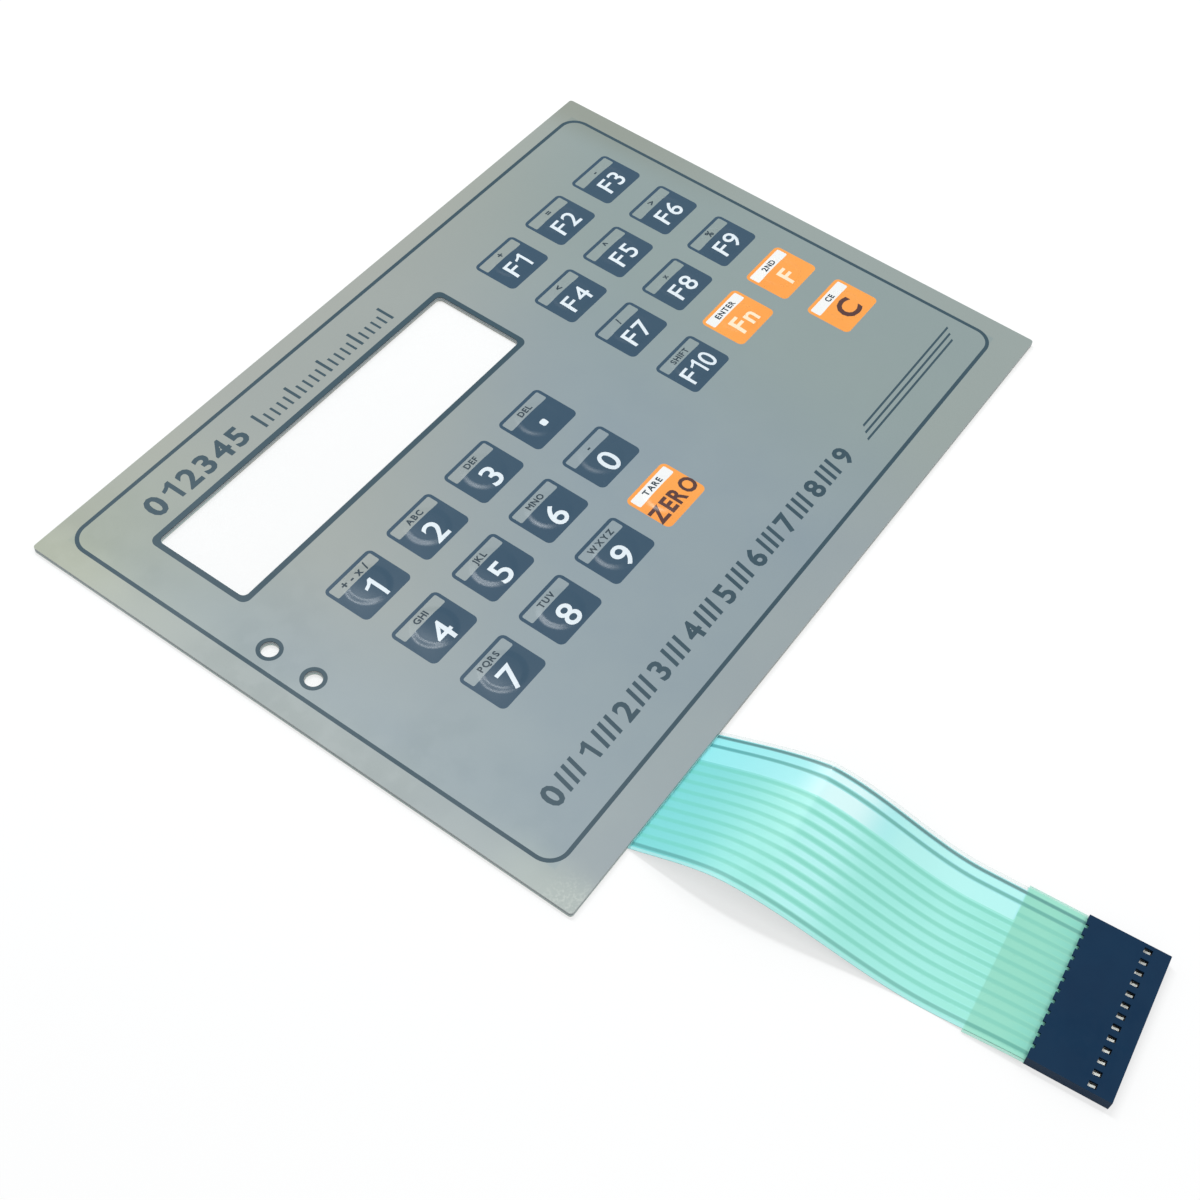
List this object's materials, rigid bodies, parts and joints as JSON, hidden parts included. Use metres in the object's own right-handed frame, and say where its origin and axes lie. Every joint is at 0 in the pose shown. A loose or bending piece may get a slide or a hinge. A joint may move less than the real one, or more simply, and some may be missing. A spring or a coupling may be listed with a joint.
{
  "type": "membrane keypad",
  "caption": "Flat membrane keypad with a display window, raised snap dome keys and a flat film tail ending in a single row socket.",
  "frame": {"origin": "centre of the panel's rear face, which is fixed to a carrier", "axes": "+X to the right and +Y to the top edge as the keys are read, +Z out of the printed face"},
  "size_m": [0.193, 0.2419, 0.01],
  "materials": {
    "overlay_film": "fine matte printed polyester film",
    "adhesive": "thin adhesive film",
    "clear_film": "smooth polyester film",
    "dark_spacer": "dark matte film",
    "dome_steel": "rolled spring steel",
    "circuit_film": "smooth film coated with insulating ink",
    "stiffener_film": "smooth tinted film",
    "liner_paper": "smooth coated paper",
    "housing_plastic": "fine moulded surface",
    "contact_metal": "tin plated spring metal"
  },
  "bodies": {
    "root": {"graphic_overlay": "overlay_film", "overlay_adhesive": "adhesive", "dome_retainer": "clear_film", "dome_spacer": "dark_spacer", "upper_circuit": "clear_film", "circuit_spacer": "adhesive", "lower_circuit": "circuit_film", "tail_stiffener": "stiffener_film", "rear_adhesive": "adhesive", "release_liner": "liner_paper", "snap_dome_1": "dome_steel", "snap_dome_2": "dome_steel", "snap_dome_3": "dome_steel", "snap_dome_point": "dome_steel", "snap_dome_4": "dome_steel", "snap_dome_5": "dome_steel", "snap_dome_6": "dome_steel", "snap_dome_0": "dome_steel", "snap_dome_7": "dome_steel", "snap_dome_8": "dome_steel", "snap_dome_9": "dome_steel", "snap_dome_zero": "dome_steel", "snap_dome_f1": "dome_steel", "snap_dome_f2": "dome_steel", "snap_dome_f3": "dome_steel", "snap_dome_f4": "dome_steel", "snap_dome_f5": "dome_steel", "snap_dome_f6": "dome_steel", "snap_dome_f7": "dome_steel", "snap_dome_f8": "dome_steel", "snap_dome_f9": "dome_steel", "snap_dome_f10": "dome_steel", "snap_dome_fn": "dome_steel", "snap_dome_f": "dome_steel", "snap_dome_clear": "dome_steel", "connector_housing": "housing_plastic", "contact_01": "contact_metal", "contact_02": "contact_metal", "contact_03": "contact_metal", "contact_04": "contact_metal", "contact_05": "contact_metal", "contact_06": "contact_metal", "contact_07": "contact_metal", "contact_08": "contact_metal", "contact_09": "contact_metal", "contact_10": "contact_metal", "contact_11": "contact_metal", "contact_12": "contact_metal", "contact_13": "contact_metal"}
  },
  "joints": []
}
